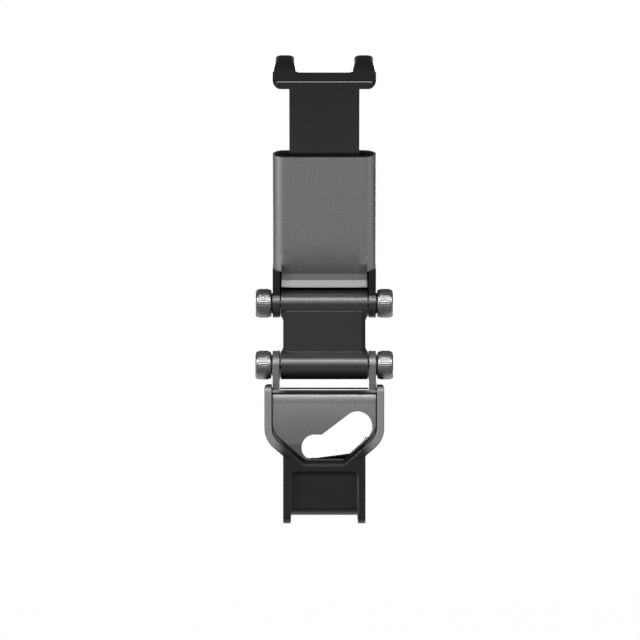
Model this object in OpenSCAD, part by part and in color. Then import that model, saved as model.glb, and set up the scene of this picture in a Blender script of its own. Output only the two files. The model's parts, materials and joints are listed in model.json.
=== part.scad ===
// Folding phone clamp for a game controller.
// A moulded cradle goes round the back of the controller, a link on two toothed thumb hinges
// stands on it, and a sprung clamp on the link grips a phone by its long edges.
// X runs along the hinge axes, +Y points at the user and +Z up. The origin is the middle of the
// seat pad's face, where the controller's back edge rests. All sizes are in millimetres.

/* [Cradle] */
// Gap between the yoke's lugs and the side ribs
rib_gap = 0.19; // [0.1:0.01:1]
// Height over the side ribs
cradle_h = 45.4; // [44:0.1:52]
// Height of the seat pad's middle above the ribs' lower edge
seat_h = 12; // [11:0.1:13]
// Width of the lower leg
leg_w = 26.7; // [24:0.1:28]
// Thickness of the upper side ribs, along X
rib_w = 2.4; // [1.6:0.1:2.4]
// Thickness of the leg's side ribs, along X
leg_rib_w = 2.5; // [1.5:0.1:3.5]
// Depth of the top web below the ribs
top_inset = 1.75; // [1:0.05:2.5]
// Depth of the bottom web above the ribs' lower edge
foot_inset = 2.55; // [1.5:0.05:3.5]
// Thickness of the top wall
top_wall = 3.5; // [3:0.1:5]
// Thickness of the bottom wall
floor_wall = 2.4; // [1.8:0.1:3]
// Reach of the top fork in front of the seat
fork_reach = 26; // [22:0.5:27]
// Fall of the top fork towards its tips
fork_drop = 1.6; // [0:0.1:3]
// Width of the notch round the controller's centre button
notch_w = 22; // [16:0.5:24]
// Where the notch starts in front of the seat
notch_start = 11.5; // [10:0.5:14]
// Reach of the bottom hook in front of the seat
hook_reach = 22; // [16:0.5:26]
// Height of the hook's lip above the floor
hook_lip = 2.6; // [1.5:0.1:4]
// Thickness of the leg's recessed panel
panel_t = 2.2; // [1.6:0.1:3]
// Depth of the leg's ribs behind the seat wall
leg_rib_d = 4.2; // [3.6:0.1:5]
// Depth of the upper ribs behind the seat wall
back_rib_d = 7.2; // [6.8:0.1:8]

/* [Cover plate] */
// Thickness of the plate
plate_t = 1.4; // [1:0.1:1.6]
// Depth of the plate below the ribs' faces
plate_inset = 0.4; // [0.2:0.1:0.8]
// Height of the crease above the ribs' lower edge
crease_h = 25.8; // [25:0.1:27]
// Height of the plate's lower edge above the ribs' lower edge
plate_foot_h = 20.6; // [20:0.1:21.5]
// Thickness of the black bar over the plate
bar_t = 1.05; // [0.8:0.05:1.4]
// Gap round the plate
plate_gap = 0.25; // [0.15:0.05:0.4]

/* [Window] */
// Radius of the pairing button's end of the window
button_r = 4.75; // [4:0.05:5]
// Distance of the pairing button from the rim
button_inset = 6.25; // [6:0.05:7]
// Height of the pairing button above the ribs' lower edge
button_h = 31.9; // [31:0.1:32.5]
// Radius of the charging port's end of the window
port_r = 4.2; // [3.6:0.1:4.4]
// Distance of the charging port's end from the rim
port_inset = 13.8; // [13:0.05:14.5]
// Height of the charging port above the ribs' lower edge
port_h = 24.9; // [24.4:0.1:25.2]

/* [Hinges] */
// Height of the lower hinge axis above the cradle's ribs
hinge_rise = 5.85; // [5.6:0.05:8]
// Distance of the lower hinge axis in front of the seat
hinge_y = 1; // [0:0.1:2.5]
// Distance between the two hinge axes
link_l = 20.8; // [20:0.1:26]
// Lean of the link away from the vertical, in degrees
link_lean = 18; // [0:1:36]
// Lean of the clamp towards the back, in degrees
clamp_lean = 18; // [0:1:36]
// Radius of the barrels and lugs
barrel_r = 4.65; // [4.2:0.05:4.65]
// Distance the lugs stand proud of the housing's sides
lug_proud = 0.11; // [0.1:0.01:0.3]
// Width of the toothed gap between a barrel and a lug
crown_gap = 0.46; // [0.46:0.02:0.6]
// Thickness of the lugs
lug_t = 2.3; // [1.8:0.1:2.3]
// Number of crown teeth
crown_teeth = 20; // [12:1:24]
// Height of the crown teeth
crown_h = 0.2; // [0.12:0.01:0.2]
// Radius of the hinge bolts
bolt_r = 1.5; // [1.2:0.05:1.8]
// Radial clearance round the bolts
bolt_clear = 0.05; // [0.02:0.01:0.08]

/* [Thumb knobs] */
// Radius over the knurl
knob_r = 4.7; // [4.3:0.05:4.7]
// Length of a knob
knob_l = 5.1; // [4.5:0.1:6]
// Size of the knobs' end chamfers
knob_chamfer = 0.75; // [0.5:0.05:1]
// Depth of the knurl
knurl_d = 0.28; // [0.1:0.02:0.3]
// Number of knurl ridges
knurl_n = 52; // [40:2:72]
// Thickness of the washers under the knobs
washer_t = 0.36; // [0.3:0.02:0.5]
// Running gap between a washer and its knob
knob_gap = 0.04; // [0.02:0.01:0.1]

/* [Link] */
// Distance of the plate's sides from the barrels' ends
link_inset = 0.65; // [0.5:0.05:2]
// Thickness of the link's plate
link_t = 6.2; // [5:0.1:6.4]
// Size of the chamfers along the link's edges
link_chamfer = 1.2; // [0.6:0.1:1.8]

/* [Clamp] */
// Width of the spring channel on each side of the arm
channel_w = 4; // [3.95:0.05:4.1]
// Thickness of the sleeve housing
sleeve_t = 7.6; // [7.4:0.1:8.6]
// Wall of the sleeve housing
sleeve_wall = 1.4; // [1.2:0.05:1.6]
// Height of the sleeve's mouth above the upper hinge axis
mouth_h = 51; // [50:0.5:56]
// Height of the sleeve's lower end above the upper hinge axis
sleeve_foot = 12; // [11.5:0.1:12.5]
// Distance of the sleeve's front face from the hinge plane
sleeve_face = 3; // [2.8:0.1:3.2]
// Top of the lower jaw's shelf above the upper hinge axis
shelf_h = 2.3; // [2:0.1:2.6]
// Thickness of both jaws' shelves
shelf_t = 2.8; // [2.4:0.1:3.2]
// Grip between the two shelves
grip_l = 70.9; // [68:0.1:78]
// Depth of the jaws in front of the phone's back
jaw_depth = 15.4; // [12:0.1:18]
// Height of the jaws' lips
jaw_lip = 3; // [2:0.1:5]
// Distance the jaws stand proud of the housing's sides
jaw_proud = 0.15; // [0:0.05:0.3]
// Width of the gap between a jaw's two prongs
prong_gap = 17.4; // [14:0.1:20]

/* [Slide arm] */
// Width of the arm
arm_w = 22.5; // [20:0.1:22.8]
// Thickness of the arm
arm_t = 2.2; // [1.8:0.1:2.4]
// Gap between the arm and the sleeve's front wall
arm_front_gap = 1.3; // [1:0.05:1.4]
// Height of the arm's lower end above the upper hinge axis
arm_foot = 31; // [30.5:0.1:32]
// Height of the arm's ears
ear_h = 2; // [1.5:0.1:2.5]
// Height of the guide in the mouth
guide_h = 1.8; // [1.5:0.1:2.5]
// Depth of the guide below the mouth's rim
guide_inset = 2.8; // [1:0.1:3]
// Wire radius of the springs
wire_r = 0.22; // [0.15:0.01:0.25]
// Mean radius of the springs
coil_r = 1.3; // [1:0.05:1.4]
// Turns of a spring
coil_turns = 9; // [6:1:10]

/* [Pads and screws] */
// Thickness of the seat pad
seat_pad_t = 1; // [0.6:0.1:1.5]
// Width of the seat pad
seat_pad_w = 20; // [14:0.5:22]
// Height of the seat pad
seat_pad_h = 11; // [9:0.5:12]
// Thickness of the other pads
pad_t = 0.9; // [0.7:0.05:1]
// Depth of the pockets that hold the jaws' pads
pad_pocket = 0.6; // [0.4:0.05:0.6]
// Radius of the screws' heads
screw_head_r = 1.5; // [1.2:0.05:1.6]
// Radius of the screws' shanks
screw_r = 0.8; // [0.6:0.05:0.9]

/* [Hidden] */

black = [0.19, 0.2, 0.2];
gunmetal = [0.46, 0.46, 0.46];
steel = [0.62, 0.62, 0.62];
rubber = [0.3, 0.3, 0.3];
$fn = 64;
eps = 0.01;
far = 60;

// Widths, which follow from the slide arm's
sleeve_w = arm_w + 2 * (channel_w + sleeve_wall);
lug_out = sleeve_w / 2 + lug_proud;
lug_in = lug_out - lug_t;
barrel_l = 2 * (lug_in - crown_gap);
link_w = barrel_l - 2 * link_inset;
jaw_w = sleeve_w + 2 * jaw_proud;
cradle_w = 2 * (lug_out + rib_gap + rib_w);

// Levels and faces of the cradle
rib_low = -seat_h;
rib_top = cradle_h - seat_h;
web_top = rib_top - top_inset;
ceiling = web_top - top_wall;
floor_low = rib_low + foot_inset;
floor_top = floor_low + floor_wall;
wall_face = -seat_pad_t;
panel_face = wall_face - panel_t;
leg_face = wall_face - leg_rib_d;
back_face = wall_face - back_rib_d;
crease = rib_low + crease_h;
plate_foot = rib_low + plate_foot_h;
slant = (back_rib_d - leg_rib_d) / (crease_h - plate_foot_h);
plate_out = back_face + plate_inset;
plate_in = plate_out + plate_t;
bar_low = web_top - bar_t;
rim_half = cradle_w / 2 - rib_w;
rim_low = plate_foot - 1.5;
diagonal = 42;
plate_shoulder = 10.7;
shield_r = 6;
fillet = 1.2;
recess_r = 3.2;
slot_run = 4.3;
button_x = rim_half - button_inset;
port_x = rim_half - port_inset;
bend_h = 3.2;
pad_edge = 0.35;
inner_r = -seat_pad_h / 2 - floor_top - pad_edge;
relief_half = rim_half - 2.95;
relief_edge = 1.8;
relief_wall = 2.2;
screw_x = 9;
leg_corner = plate_foot + 1.5;
panel_top = rim_low - 1.95;
notch_r = 5;
hook_t = 1.8;

// Places along the hinge axes
knob_in = lug_out + washer_t + knob_gap;
bore_r = bolt_r + bolt_clear;
lower_axis = rib_top + hinge_rise;
upper_y = hinge_y + link_l * sin(link_lean);
upper_z = lower_axis + link_l * cos(link_lean);
foot_t = 1.5;
foot_half = barrel_r + 0.2;
fit_gap = 0.1;
head_t = 0.6 * screw_head_r;
head_sink = head_t + fit_gap;
socket_r = 0.4 * screw_head_r;
washer_r = 3.4;
pad_margin = 1.6;
fork_pad_gap = 5;

// Levels and faces of the clamp, in its own upright frame on the upper hinge axis
sleeve_back = sleeve_t - sleeve_face;
sleeve_mid = (sleeve_back - sleeve_face) / 2;
phone_back = sleeve_back + pad_t;
jaw_front = phone_back + jaw_depth;
jaw_h = shelf_h + grip_l;
arm_face = -sleeve_face + sleeve_wall + arm_front_gap;
guide_top = mouth_h - guide_inset;
guide_low = guide_top - guide_h;
ear_top = arm_foot + ear_h;
spring_x = (arm_w + channel_w) / 2;
ear_half = spring_x + coil_r;
relief_r = barrel_r + 0.35;
sheet_half = barrel_l / 2 - 0.1;
sheet_t = 1.4;
waist_in = 2.2;
waist_top = sleeve_foot + 4.5;
waist_h = sleeve_foot - waist_in;
lip_h = 6.1;
tongue_inset = 2;
tongue_front = -sleeve_face + waist_in + sheet_t + 0.15;
tongue_back = sleeve_back - sleeve_wall - 0.1;
tongue_top = sleeve_foot + 2.6;
frame_back = phone_back - 0.1;
prong_r = 2.4;
arch = 2.5;
bridge_d = 7.9;
clamp_screw_x = 8;
pad_low = 5;
lug_brow = 6.5;
liner_wall = 0.4;
lip_t = 1.9;
back_edge = 1;
jaw_corner = 2.6;
shoulder = 3;
crown_top = jaw_h + shelf_t + arch - 0.2;
flange = 0.9;
flange_t = 0.6;

// Turns a list of corners [x, y, radius] into a path with round corners
function unit(v) = v / norm(v);
function corner(a, p, b, r, n = 6) =
    let (u = unit([a[0] - p[0], a[1] - p[1]]),
         v = unit([b[0] - p[0], b[1] - p[1]]),
         half = acos(u * v) / 2,
         t = r / tan(half),
         c = [p[0], p[1]] + unit(u + v) * r / sin(half),
         s = [p[0], p[1]] + u * t - c,
         e = [p[0], p[1]] + v * t - c,
         a0 = atan2(s[1], s[0]),
         turn = atan2(s[0] * e[1] - s[1] * e[0], s * e))
    [for (i = [0:n]) c + r * [cos(a0 + turn * i / n), sin(a0 + turn * i / n)]];
function rounded(ps) =
    let (m = len(ps))
    [for (i = [0:m - 1]) each
        (ps[i][2] == 0 ? [[ps[i][0], ps[i][1]]]
                       : corner(ps[(i + m - 1) % m], ps[i], ps[(i + 1) % m], ps[i][2]))];
function mirrored(ps) = [for (i = [len(ps) - 1:-1:0]) [-ps[i][0], ps[i][1], ps[i][2]]];
function bezier(a, b, c, d, n = 8) =
    [for (i = [0:n])
        let (t = i / n, s = 1 - t) s * s * s * a + 3 * s * s * t * b + 3 * s * t * t * c + t * t * t * d];

// Extrudes a [y, z] drawing along X, an [x, z] drawing along Y and an [x, y] drawing along Z
module side(x0, x1) { translate([x0, 0, 0]) rotate([90, 0, 90]) linear_extrude(x1 - x0) children(); }
module front(y0, y1) { translate([0, y1, 0]) rotate([90, 0, 0]) linear_extrude(y1 - y0) children(); }
module plan(z0, z1) { translate([0, 0, z0]) linear_extrude(z1 - z0) children(); }
module both_sides() { children(); mirror([1, 0, 0]) children(); }
module along_x(x0, x1, r) { translate([x0, 0, 0]) rotate([0, 90, 0]) cylinder(r = r, h = x1 - x0); }

module on_lower_axis() { translate([0, hinge_y, lower_axis]) children(); }
module on_upper_axis() { translate([0, upper_y, upper_z]) children(); }
module on_clamp() { on_upper_axis() rotate([clamp_lean, 0, 0]) children(); }

// Cradle

// The C-shaped section of the ribs, seen along X
module cradle_section() {
    polygon(rounded([
        [back_face, rib_top, 2.6], [hinge_y + barrel_r, rib_top, 0],
        [fork_reach, rib_top - fork_drop, 1.6], [fork_reach, ceiling - fork_drop, 1],
        [hinge_y + barrel_r, ceiling, 0], [wall_face, ceiling, inner_r], [wall_face, floor_top, inner_r],
        [hook_reach - hook_t, floor_top, 0.8], [hook_reach - hook_t, floor_top + hook_lip, 0.6],
        [hook_reach, floor_top + hook_lip, 0.6], [hook_reach, rib_low, 2.4],
        [leg_face, rib_low, 3], [leg_face, plate_foot, 0], [back_face, crease, 0]]));
}

// The outline of the back: a wide head, diagonal shoulders and a narrower leg
function back_outline(half, top, low) =
    let (shoulder = leg_corner + (half - leg_w / 2) * tan(diagonal))
    [[leg_w / 2, low, 0], [leg_w / 2, leg_corner, 0.9], [half, shoulder, 8.5], [half, top, 1]];
module back_shape() {
    right = back_outline(cradle_w / 2, rib_top, rib_low);
    polygon(rounded(concat(right, mirrored(right))));
}

// The shield shape inside the rim, which takes the cover plate
module shield(half, top, low) {
    low_half = half - plate_shoulder;
    right = [[low_half, low, fillet], [half, low + (half - low_half) * tan(diagonal), shield_r], [half, top, 0]];
    polygon(rounded(concat(right, mirrored(right))));
}

// The slot from the charging port to the pairing button
module window_shape(grow = 0) {
    button = [button_x, rib_low + button_h];
    port = [-port_x, rib_low + port_h];
    sill = plate_foot + 0.85 - grow;
    intersection() {
        union() {
            translate(button) circle(r = button_r + grow);
            translate(port) circle(r = port_r + grow);
            polygon([
                port + [0, -port_r - grow], port + [0, port_r + grow],
                port + [2.4, port_r + grow],
                button + (button_r + grow) * [-cos(52), sin(52)],
                button, button + (button_r + grow) * [cos(42), -sin(42)],
                [button_x - slot_run + grow * 0.4, sill]]);
        }
        translate([-far / 2, sill]) square([far, far]);
    }
}

module leg_recess() {
    leg_in = leg_w / 2 - leg_rib_w;
    intersection() {
        side(-leg_in, leg_in) difference() {
            translate([back_face - 1, rib_low - 1]) square([far, panel_top - rib_low + 1]);
            polygon(rounded([
                [panel_face, far / 2, 0], [panel_face, floor_low, recess_r], [hook_reach - 1, floor_low, recess_r / 2],
                [hook_reach - 1, far / 2, 0]]));
        }
        front(back_face - 1, far) polygon(rounded([
            [-leg_in, rib_low - 1, 0], [leg_in, rib_low - 1, 0], [leg_in, panel_top, 1.8],
            [-leg_in, panel_top, 1.8]]));
    }
}

module plate_recess() {
    intersection() {
        front(back_face - 1, wall_face) shield(rim_half, bar_low, rim_low);
        side(-cradle_w / 2, cradle_w / 2) polygon([
            [back_face - 1, bar_low], [plate_in, bar_low], [plate_in, crease],
            [plate_in + (crease - plate_foot) * slant, plate_foot],
            [plate_in + (crease - plate_foot) * slant, rim_low], [back_face - 1, rim_low]]);
    }
}

module screw_places() {
    for (x = [-screw_x, screw_x]) translate([x, hinge_y, 0]) children();
}

module cradle_body() {
    color(black) difference() {
        intersection() {
            side(-cradle_w / 2, cradle_w / 2) cradle_section();
            front(back_face - 1, far) back_shape();
        }
        side(-rim_half, rim_half) polygon([
            [back_face - 1, web_top], [hinge_y + barrel_r, web_top],
            [fork_reach + 1, web_top - fork_drop], [fork_reach + 1, rib_top + 1],
            [back_face - 1, rib_top + 1]]);
        side(-rim_half, rim_half)
            translate([back_face - 1, bar_low]) square([1 + plate_inset + 0.2, far]);
        plate_recess();
        leg_recess();
        front(back_face - 1, wall_face + 1) window_shape();
        // relief inside, behind the plate
        front(plate_in + relief_wall, wall_face + 1) polygon(rounded([
            [-relief_half, crease + relief_edge, 1.5], [relief_half, crease + relief_edge, 1.5],
            [relief_half, ceiling - relief_edge, 1.5], [-relief_half, ceiling - relief_edge, 1.5]]));
        // notch between the fork's arms
        plan(ceiling - fork_drop - 1, rib_top + 1) polygon(rounded([
            [-notch_w / 2, fork_reach + 1, 0], [-notch_w / 2, notch_start, notch_r],
            [notch_w / 2, notch_start, notch_r], [notch_w / 2, fork_reach + 1, 0]]));
        // pocket for the yoke's foot, and its screws
        translate([-lug_out - 0.05, hinge_y - foot_half, web_top - foot_t])
            cube([2 * lug_out + 0.1, 2 * foot_half, far]);
        screw_places() {
            translate([0, 0, ceiling - 1]) cylinder(r = screw_head_r + fit_gap, h = head_sink + 1);
            translate([0, 0, ceiling]) cylinder(r = screw_r + 0.05, h = top_wall);
        }
    }
}

module cover_plate() {
    half = rim_half - plate_gap;
    top = bar_low - 0.1;
    low_y = (crease - plate_foot) * slant;
    color(gunmetal) difference() {
        intersection() {
            side(-half, half) polygon(concat(
                bezier([plate_out, top - bend_h], [plate_out, top - bend_h / 3],
                       [plate_out + plate_t / 3, top], [plate_in, top]),
                [[plate_in, crease], [plate_in + low_y, plate_foot], [plate_out + low_y, plate_foot]],
                corner([plate_out + low_y, plate_foot], [plate_out, crease], [plate_out, top], fillet)));
            front(back_face - 1, wall_face) shield(half, top + 1, plate_foot);
        }
        front(back_face - 1, wall_face) window_shape(0.15);
    }
}

module hinge_yoke() {
    color(gunmetal) difference() {
        union() {
            translate([-lug_out, hinge_y - foot_half + 0.05, web_top - foot_t])
                cube([2 * lug_out, 2 * foot_half - 0.1, foot_t]);
            both_sides() on_lower_axis() side(lug_in, lug_out) {
                circle(r = barrel_r);
                translate([-barrel_r, web_top - foot_t + eps - lower_axis])
                    square([2 * barrel_r, lower_axis - web_top + foot_t - eps]);
            }
            both_sides() on_lower_axis() crown(lug_in, -1);
        }
        on_lower_axis() along_x(-lug_out - 1, lug_out + 1, bore_r);
        screw_places() translate([0, 0, web_top - foot_t - 1]) cylinder(r = screw_r + 0.05, h = foot_t + 2);
    }
}

module cradle_screws() {
    color(steel) screw_places() {
        difference() {
            translate([0, 0, ceiling + head_sink - head_t]) cylinder(r = screw_head_r, h = head_t);
            translate([0, 0, ceiling]) cylinder(r = socket_r, h = head_t / 2 + head_sink - head_t, $fn = 6);
        }
        translate([0, 0, ceiling + head_sink - eps])
            cylinder(r = screw_r, h = web_top - ceiling - head_sink - fit_gap);
    }
}

module seat_pad() {
    color(rubber) front(wall_face, 0) polygon(rounded([
        [-seat_pad_w / 2, -seat_pad_h / 2, 1.5], [seat_pad_w / 2, -seat_pad_h / 2, 1.5],
        [seat_pad_w / 2, seat_pad_h / 2, 1.5], [-seat_pad_w / 2, seat_pad_h / 2, 1.5]]));
}

// A pad under one arm of the fork
module fork_pad() {
    fall = fork_drop / (fork_reach - hinge_y - barrel_r);
    y0 = hinge_y + barrel_r + fork_pad_gap;
    y1 = fork_reach - pad_margin;
    z0 = ceiling - (y0 - hinge_y - barrel_r) * fall;
    z1 = ceiling - (y1 - hinge_y - barrel_r) * fall;
    side(notch_w / 2 + pad_margin / 2, cradle_w / 2 - pad_margin / 2)
        polygon([[y0, z0], [y1, z1], [y1, z1 - pad_t], [y0, z0 - pad_t]]);
}
module fork_pad_left() { color(rubber) mirror([1, 0, 0]) fork_pad(); }
module fork_pad_right() { color(rubber) fork_pad(); }

module hook_pad() {
    half = leg_w / 2 - leg_rib_w;
    color(rubber) plan(floor_top, floor_top + pad_t) polygon(rounded([
        [-half, fork_pad_gap, 1.5], [half, fork_pad_gap, 1.5],
        [half, hook_reach - hook_t - pad_margin, 1.5], [-half, hook_reach - hook_t - pad_margin, 1.5]]));
}

// Hinges

// A ring of radial teeth on the face at x, standing out along +X or -X
module crown(x, way) {
    pitch = 360 / crown_teeth;
    ring_in = barrel_r * 0.62;
    ring_out = barrel_r - 0.08;
    base = ring_in * sin(pitch / 2) * 1.1;
    for (i = [0:crown_teeth - 1]) rotate([i * pitch, 0, 0]) translate([x, 0, ring_in])
        linear_extrude(ring_out - ring_in) polygon([
            [-way * eps, -base / 2], [-way * eps, base / 2],
            [way * crown_h, base / 4], [way * crown_h, -base / 4]]);
}

// A knurled knob with its inner face at the origin, standing out along +Z
module knob_solid() {
    core = knob_r - knurl_d;
    nose = knob_r - knob_chamfer;
    rotate_extrude() polygon([
        [0, 0], [nose, 0], [core, knob_chamfer - knurl_d], [core, knob_l - knob_chamfer + knurl_d],
        [nose, knob_l], [nose - 0.9, knob_l + 0.16], [0, knob_l + 0.26]]);
    plan(knob_chamfer, knob_l - knob_chamfer) polygon([for (i = [0:2 * knurl_n - 1])
        (i % 2 == 0 ? knob_r : core - 0.02) * [cos(180 * i / knurl_n), sin(180 * i / knurl_n)]]);
}

module thumb_bolt() {
    end = knob_in + knob_l - 0.9;
    color(steel) translate([-knob_in, 0, 0]) rotate([0, -90, 0]) knob_solid();
    color(steel) along_x(-knob_in - eps, end, bolt_r);
}

module thumb_nut() {
    color(steel) difference() {
        translate([knob_in, 0, 0]) rotate([0, 90, 0]) knob_solid();
        along_x(knob_in - 1, knob_in + knob_l - 0.8, bore_r);
    }
}

module washer_pair() {
    color(steel) both_sides() difference() {
        along_x(lug_out, lug_out + washer_t, washer_r);
        along_x(lug_out - 1, lug_out + 1, bore_r + 0.1);
    }
}

module lower_washers() { on_lower_axis() washer_pair(); }
module lower_thumb_bolt() { on_lower_axis() thumb_bolt(); }
module lower_thumb_nut() { on_lower_axis() thumb_nut(); }
module upper_washers() { on_clamp() washer_pair(); }
module upper_thumb_bolt() { on_clamp() thumb_bolt(); }
module upper_thumb_nut() { on_clamp() thumb_nut(); }

// Link, upright on the lower hinge axis and then leant
module link_body() {
    half = barrel_l / 2;
    t = link_t / 2;
    w = link_w / 2;
    c = link_chamfer;
    color(black) on_lower_axis() rotate([-link_lean, 0, 0]) difference() {
        union() {
            for (z = [0, link_l]) translate([0, 0, z]) {
                along_x(-half, half, barrel_r);
                both_sides() crown(half, 1);
            }
            plan(0, link_l) polygon([
                [-w, -t + c], [-w + c, -t], [w - c, -t], [w, -t + c], [w, t - c], [w - c, t],
                [-w + c, t], [-w, t - c]]);
            // flared roots of the plate on the barrels
            for (way = [0, 1]) translate([0, 0, way * link_l]) mirror([0, 0, way]) front(-t + c, t - c)
                polygon([[-half, 0], [half, 0], [half, barrel_r - 0.8], [w, barrel_r + 0.7],
                         [-w, barrel_r + 0.7], [-half, barrel_r - 0.8]]);
        }
        for (z = [0, link_l]) translate([0, 0, z]) along_x(-half - 1, half + 1, bore_r);
    }
}

// Clamp

module stadium(w, t) {
    square([w - t, t], center = true);
    for (x = [-1, 1]) translate([x * (w - t) / 2, 0]) circle(r = t / 2);
}

// The waisted foot of the housing, seen along X: it curves in and flares out to a lip
module waist_section() {
    face = -sleeve_face;
    outer = concat(
        [[face, waist_top + 1]],
        bezier([face, waist_top], [face, waist_top - 2.9], [face + waist_in, waist_h + 2.8],
               [face + waist_in, waist_h]),
        bezier([face + waist_in, waist_h], [face + waist_in, waist_h - 1.2], [face + 1.6, lip_h + 1.9],
               [face + 0.2, lip_h]));
    polygon(concat(outer, [for (i = [len(outer) - 1:-1:0]) outer[i] + [sheet_t, 0]]));
}

module clamp_housing() {
    inner_w = sleeve_w - 2 * sleeve_wall;
    inner_t = sleeve_t - 2 * sleeve_wall;
    color(gunmetal) on_clamp() difference() {
        union() {
            difference() {
                translate([0, sleeve_mid, 0]) plan(sleeve_foot, mouth_h) difference() {
                    stadium(sleeve_w, sleeve_t);
                    stadium(inner_w, inner_t);
                }
                translate([-sheet_half, -sleeve_face - 1, sleeve_foot - 1])
                    cube([2 * sheet_half, sleeve_wall + 1 + eps, waist_top - sleeve_foot + 1]);
            }
            side(-sheet_half - eps, sheet_half + eps) waist_section();
        }
        translate([0, sleeve_mid, 0]) plan(mouth_h - flange_t - fit_gap, mouth_h + 1)
            stadium(inner_w + 2 * flange, inner_t + 2 * flange);
        clamp_screw_places() {
            translate([0, 0, sleeve_wall - head_sink]) cylinder(r = screw_head_r + fit_gap, h = sleeve_wall);
            translate([0, 0, -sleeve_wall]) cylinder(r = screw_r + 0.05, h = 3 * sleeve_wall);
        }
    }
}

// Screws enter the sleeve's back wall; the children stand on its inner face
module clamp_screw_places() {
    for (x = [-clamp_screw_x, clamp_screw_x])
        translate([x, sleeve_back - sleeve_wall, sleeve_foot + sleeve_wall]) rotate([-90, 0, 0]) children();
}

module clamp_screws() {
    color(steel) on_clamp() clamp_screw_places() {
        difference() {
            translate([0, 0, sleeve_wall - head_sink]) cylinder(r = screw_head_r, h = head_t);
            translate([0, 0, sleeve_wall - head_sink + head_t / 2])
                cylinder(r = socket_r, h = head_t, $fn = 6);
        }
        translate([0, 0, -sleeve_wall]) cylinder(r = screw_r, h = 2 * sleeve_wall - head_sink + eps);
    }
}

// A jaw seen from above: a bridge with two tapering prongs, from y0 to the lips' faces
module jaw_plan(y0, y_bridge, y1, half, root_r) {
    gap = prong_gap / 2;
    polygon(rounded([
        [-half, y0, root_r], [half, y0, root_r], [half - 0.5, y1, prong_r], [gap + 0.4, y1, prong_r],
        [gap, y_bridge, 0.9], [-gap, y_bridge, 0.9], [-gap - 0.4, y1, prong_r],
        [-half + 0.5, y1, prong_r]]));
}

// A jaw seen along X, for the upper jaw: a shelf that arches a little and ends in a lip
module jaw_section(y0, y1, edge) {
    polygon(rounded([
        [y0, jaw_h, 0], [y0, jaw_h + shelf_t, edge], [(y0 + y1) / 2, jaw_h + shelf_t + 0.4, 0],
        [y1 - shoulder, jaw_h + shelf_t + arch, shoulder], [y1, jaw_h + shelf_t + arch, 2],
        [y1, jaw_h - jaw_lip, 0.6], [y1 - lip_t, jaw_h - jaw_lip, 0.6], [y1 - lip_t, jaw_h, 0.8]]));
}

// The upper jaw seen along Y: the bridge, and the round-shouldered prongs behind it
module bridge_outline() {
    right = [[jaw_w / 2, jaw_h, jaw_corner], [jaw_w / 2 - 0.4, crown_top + 1, 0]];
    polygon(rounded(concat(right, mirrored(right))));
}
module prong_outline() {
    gap = prong_gap / 2;
    polygon(rounded([
        [gap, jaw_h - jaw_lip, 0], [jaw_w / 2, jaw_h - jaw_lip, jaw_corner],
        [jaw_w / 2 - 0.4, crown_top, shoulder], [gap + 0.4, crown_top, shoulder]]));
}

// The pocket and the pad on one prong of a jaw, from above
module jaw_pad_plan(shrink) {
    x0 = prong_gap / 2 + 0.9 + shrink;
    x1 = jaw_w / 2 - 1.8 - shrink;
    y0 = phone_back + 1.5 + shrink;
    y1 = jaw_front - lip_t - 1.3 - shrink;
    polygon(rounded([[x0, y0, 1], [x1, y0, 1], [x1, y1, 1], [x0, y1, 1]]));
}

module jaw_arm() {
    color(black) on_clamp() difference() {
        union() {
            intersection() {
                plan(jaw_h - jaw_lip - 1, jaw_h + shelf_t + arch + 1)
                    jaw_plan(arm_face, arm_face + bridge_d, jaw_front, jaw_w / 2, 2.4);
                side(-jaw_w / 2, jaw_w / 2) jaw_section(arm_face, jaw_front, back_edge);
                union() {
                    front(arm_face - 1, arm_face + bridge_d + 1) bridge_outline();
                    both_sides() front(arm_face + bridge_d, jaw_front + 1) prong_outline();
                }
            }
            translate([-arm_w / 2, arm_face, arm_foot]) cube([arm_w, arm_t, jaw_h + 1 - arm_foot]);
            translate([-ear_half, arm_face, arm_foot]) cube([2 * ear_half, arm_t, ear_h]);
        }
        both_sides() plan(jaw_h - 1, jaw_h + pad_pocket) jaw_pad_plan(0);
    }
}

module upper_jaw_pad() { plan(jaw_h + pad_pocket - pad_t, jaw_h + pad_pocket) jaw_pad_plan(0.05); }
module upper_jaw_pad_left() { color(rubber) on_clamp() mirror([1, 0, 0]) upper_jaw_pad(); }
module upper_jaw_pad_right() { color(rubber) on_clamp() upper_jaw_pad(); }

// The clamp's frame between its lugs: a tongue in the sleeve, a curved back and the lower shelf
module frame_section() {
    lip_top = shelf_h + jaw_lip;
    difference() {
        polygon(rounded([
            [tongue_front, 6, 0], [tongue_front, tongue_top, 0], [tongue_back, tongue_top, 0],
            [tongue_back, sleeve_foot - 0.1, 0],
            [frame_back, sleeve_foot - 0.1, 0.8], [frame_back, shelf_h, 0],
            [jaw_front - lip_t, shelf_h, 0.8], [jaw_front - lip_t, lip_top, 0.6],
            [jaw_front, lip_top, 0.6], [jaw_front, shelf_h - shelf_t, 2],
            [relief_r, shelf_h - shelf_t, 0], [2, shelf_h - shelf_t, 0], [2, 3, 0]]));
        circle(r = relief_r);
    }
}

module clamp_lug_section() {
    circle(r = barrel_r);
    polygon([
        [-barrel_r + 0.02, 0], [-sleeve_face + 0.1, lug_brow], [-sleeve_face + 0.1, sleeve_foot - 0.05],
        [sleeve_back - 0.1, sleeve_foot - 0.05], [frame_back, sleeve_foot - 0.9],
        [frame_back, shelf_h - shelf_t], [1, shelf_h - shelf_t]]);
}

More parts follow.
